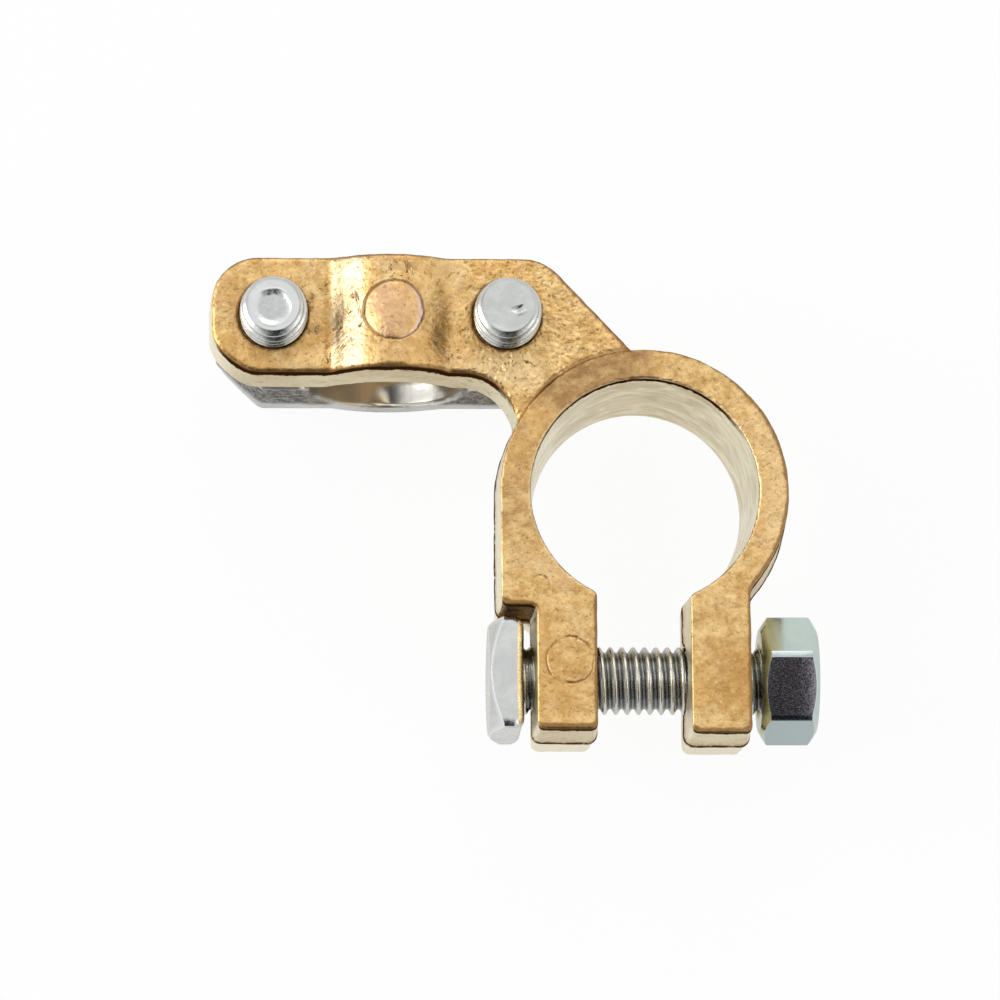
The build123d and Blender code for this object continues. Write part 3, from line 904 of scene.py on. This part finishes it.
def crisp(name, mesh, angle):
    """A smooth-shaded object, split along the edges sharper than an angle in degrees."""
    mesh.shade_smooth()
    obj = link(name, mesh)
    sharp = obj.modifiers.new("edges", "EDGE_SPLIT")
    sharp.split_angle = radians(angle)
    obj.data = baked(obj)
    obj.modifiers.clear()
    return obj


def threaded(name, rings, place, bare=0.0):
    """A headed fastener from its rings; `bare` is how far the plate is worn off its end."""
    mesh = lathe(rings, name)
    p = points_of(mesh)
    reach = np.hypot(p[:, 0], p[:, 1])
    from_end = p[:, 2].max() - p[:, 2]
    sunk = crest_at(from_end) - reach
    in_thread = (p[:, 2] > 0.3) & (sunk < CREST - ROOT + 0.05) & (from_end > 0.3)
    at_end = (from_end < 0.6) & (reach < END_RADIUS + 0.01)
    dished = np.where(at_end, 0.5 * smooth(0.05, 0.22, from_end), 0.0)
    ring = np.append(np.repeat(np.arange(len(rings)), SIDES), (-1, -1))
    # the heads' edge rings: partly worn plate, partly a painted highlight line
    edge_highlight_and_wear = np.isin(ring, HEAD_EDGE) * 0.8
    # recess: painted shade deepening into the thread's roots and the dish at the point
    give(mesh, recess=np.where(in_thread, smooth(0.12, 0.42, sunk), dished))
    give(mesh, bare=np.where(at_end, bare, edge_highlight_and_wear))
    mesh.transform(place)
    return crisp(name, mesh, 38)


def cupped_end(x, y):
    """The left screw's point: a shallow dish with a low ridge round it."""
    r = np.hypot(x + 0.15, y + 0.20)
    swell = 0.10 * noise_in_plane(x, y, 0.9, 4.2)
    dish = 0.13 * smooth(1.75 + swell, 1.05 + swell, r)
    ridge = 0.03 * smooth(0.2, 0.0, abs(r - 1.66 - swell))
    rough = 0.02 * noise_in_plane(x, y, 3.1, 9.1) * smooth(1.5, 1.0, r)
    return float(dish - ridge + rough)


def nicked_end(x, y):
    """The right screw's point: flat, with one lens-shaped nick."""
    u, v = (x - 0.80) * 0.94 + (y + 0.25) * 0.34, (y + 0.25) * 0.94 - (x - 0.80) * 0.34
    nick = 0.13 * smooth(1.0, 0.0, np.hypot(u / 0.80, (v - 0.25 * u * u) / 0.34))
    lip = 0.05 * smooth(1.0, 0.0, np.hypot((u - 0.1) / 0.9, (v + 0.42) / 0.26))
    hollow = 0.03 * smooth(2.0, 0.0, np.hypot(x, y))
    return float(nick - lip + hollow + 0.04 * noise_in_plane(x, y, 0.8, 2.5))


def centred_end(x, y):
    """The bolt's point: a shallow round recess."""
    return 0.05 * float(smooth(1.7, 1.2, np.hypot(x, y)))


def screw(side, depth_at, bare):
    turn = radians(SCREW_HEAD_TURN[side] + 30)
    hexagon = lambda a: polygon_radius(a - turn, 6, SCREW_HEAD_WIDTH)
    rings = head_rings(hexagon, SCREW_HEAD_HEIGHT, SCREW_HEAD_WIDTH * 0.45, 0.08)
    rings += shank_rings(SCREW_LENGTH) + end_rings(SCREW_LENGTH, depth_at)
    obj = threaded(f"screw_{side}", rings, moved(SCREW_X[side], ARM_Y, STRAP_UNDER_Z), bare)
    return dress(obj, ZINC_SCREW, f"cable_screw_{side}", f"screw_{side}")


def clamp_bolt():
    corner = BOLT_HEAD_WIDTH / 2 * sqrt(2) * 0.975
    square = lambda a: min(polygon_radius(a, 4, BOLT_HEAD_WIDTH, 0.0), corner)
    rings = head_rings(square, BOLT_HEAD_HEIGHT, BOLT_HEAD_WIDTH / 2 - 0.15, 1.0)
    rings += shank_rings(BOLT_LENGTH) + end_rings(BOLT_LENGTH, centred_end)
    place = moved(BOLT_SEAT_X, BOLT_Y, PARTING_Z) @ Matrix.Rotation(radians(90), 4, "Y")
    obj = threaded("square_bolt", rings, place)
    return dress(obj, ZINC_BOLT, "clamp_bolt", "bolt")


def clamp_nut():
    """Hexagon nut with a bevel at both ends, countersinks and a plain bore round the thread."""
    hexagon = lambda a: polygon_radius(a, 6, NUT_WIDTH, 0.12)
    start = NUT_WIDTH * 0.45
    bevel = lambda a: max(0.0, hexagon(a) - start) * tan(radians(BEVEL))
    half = [
        (3.02, lambda a: 0.36),
        (3.06, lambda a: 0.30),
        (3.40, lambda a: 0.02),
        (3.46, lambda a: 0.0),
        (start - 0.12, lambda a: 0.0),
        (start + 0.05, lambda a: 0.02),
        (lambda a: (start + hexagon(a)) / 2, lambda a: bevel(a) / 2),
        (lambda a: hexagon(a) - 0.10, lambda a: bevel(a) - 0.03),
        (lambda a: hexagon(a) - 0.02, lambda a: bevel(a) + 0.03),
        (hexagon, lambda a: bevel(a) + 0.12),
    ]
    rings = [ring_of(r, z) for r, z in half]
    rings.append(ring_of(hexagon, NUT_THICKNESS / 2))
    rings += [ring_of(r, lambda a, z=z: NUT_THICKNESS - z(a)) for r, z in reversed(half)]
    mesh = lathe(rings, "hexagon_nut", closed=True)
    give(mesh, recess=np.zeros(len(mesh.vertices)), bare=np.zeros(len(mesh.vertices)))
    turn = Matrix.Rotation(radians(NUT_TURN), 4, "X") @ Matrix.Rotation(radians(90), 4, "Y")
    mesh.transform(moved(NUT_SEAT_X, BOLT_Y, PARTING_Z) @ turn)
    obj = crisp("hexagon_nut", mesh, 18)
    return dress(obj, ZINC_NUT, "clamp_nut", "nut")


# ---- stage ----------------------------------------------------------------------------------
def floor():
    mesh = bpy.data.meshes.new("floor")
    half, z = 3.0, FLOOR_Z * MM
    corners = [(-half, -half, z), (half, -half, z), (half, half, z), (-half, half, z)]
    mesh.from_pydata(corners, [], [(0, 1, 2, 3)])
    obj = link("floor", mesh)
    look = Look("pale_floor")
    mesh.materials.append(look.finish(Base_Color=FLOOR_GREY, Roughness=0.8))
    rays = look.node("ShaderNodeLightPath").outputs
    mirrored = look.most(rays["Is Glossy Ray"], rays["Is Transmission Ray"])
    direct = look.times(rays["Is Camera Ray"], SEEN_FLOOR)
    white = look.node("ShaderNodeEmission", {"Color": WHITE, "Strength": 1.0}).outputs[0]
    seen = look.most(direct, look.times(mirrored, MIRRORED_FLOOR))
    surface = look.shader.outputs[0]
    blend = look.node("ShaderNodeMixShader", {0: seen, 1: surface, 2: white}).outputs[0]
    look.put(look.tree.nodes["Material Output"].inputs["Surface"], blend)
    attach(obj, "strap")


def sky():
    """White all round, with a dark screen that stands in front of the part."""
    world = bpy.data.worlds.new("studio")
    scene.world = world
    world.use_nodes = True
    tree = Nodes(world.node_tree)
    toward = tree.split(tree.node("ShaderNodeTexCoord").outputs["Generated"])
    width = tree.band(tree.size_of(toward["X"]), 0.42, 0.26)
    screen = tree.times(width, tree.band(toward["Y"], -0.06, -0.19))
    rays = tree.node("ShaderNodeLightPath").outputs
    straight = rays["Is Camera Ray"]
    seen = tree.most(straight, rays["Is Glossy Ray"], rays["Is Transmission Ray"])
    level = tree.total((seen, SEEN_SKY - SKY), SKY)
    shade = tree.times(screen, tree.without(straight), SCREEN_SHADE)
    background = world.node_tree.nodes["Background"].inputs
    tree.put(background["Strength"], tree.times(level, tree.without(shade)))
    tree.put(background["Color"], WHITE)


def lamps():
    for name, where, size, power in LAMPS:
        lamp = bpy.data.lights.new(name, "AREA")
        lamp.shape = "DISK"
        lamp.size = size * MM
        lamp.energy = power
        obj = link(name, lamp)
        obj.location = Vector(where) * MM
        aim = Vector(LAMP_AIM) * MM - obj.location
        obj.rotation_euler = aim.to_track_quat("-Z", "Y").to_euler()


def camera():
    rx, ry, rz = VIEW_TURN
    turn = Matrix.Rotation(rz, 3, "Z") @ Matrix.Rotation(ry, 3, "Y") @ Matrix.Rotation(rx, 3, "X")
    data = bpy.data.cameras.new("camera")
    data.sensor_width = 36.0
    data.lens = LENS
    data.clip_start, data.clip_end = 0.01, 20.0
    obj = link("camera", data)
    back = turn.transposed()
    where = back @ Vector((-VIEW_SHIFT[0], -VIEW_SHIFT[1], VIEW_DISTANCE)) * MM
    obj.matrix_world = Matrix.Translation(where) @ back.to_4x4()
    scene.camera = obj


forging()
strap()
screw("left", cupped_end, bare=0.5)
screw("right", nicked_end, bare=0.1)
clamp_bolt()
clamp_nut()
floor()
sky()
lamps()
camera()
scene.view_settings.view_transform = "Standard"
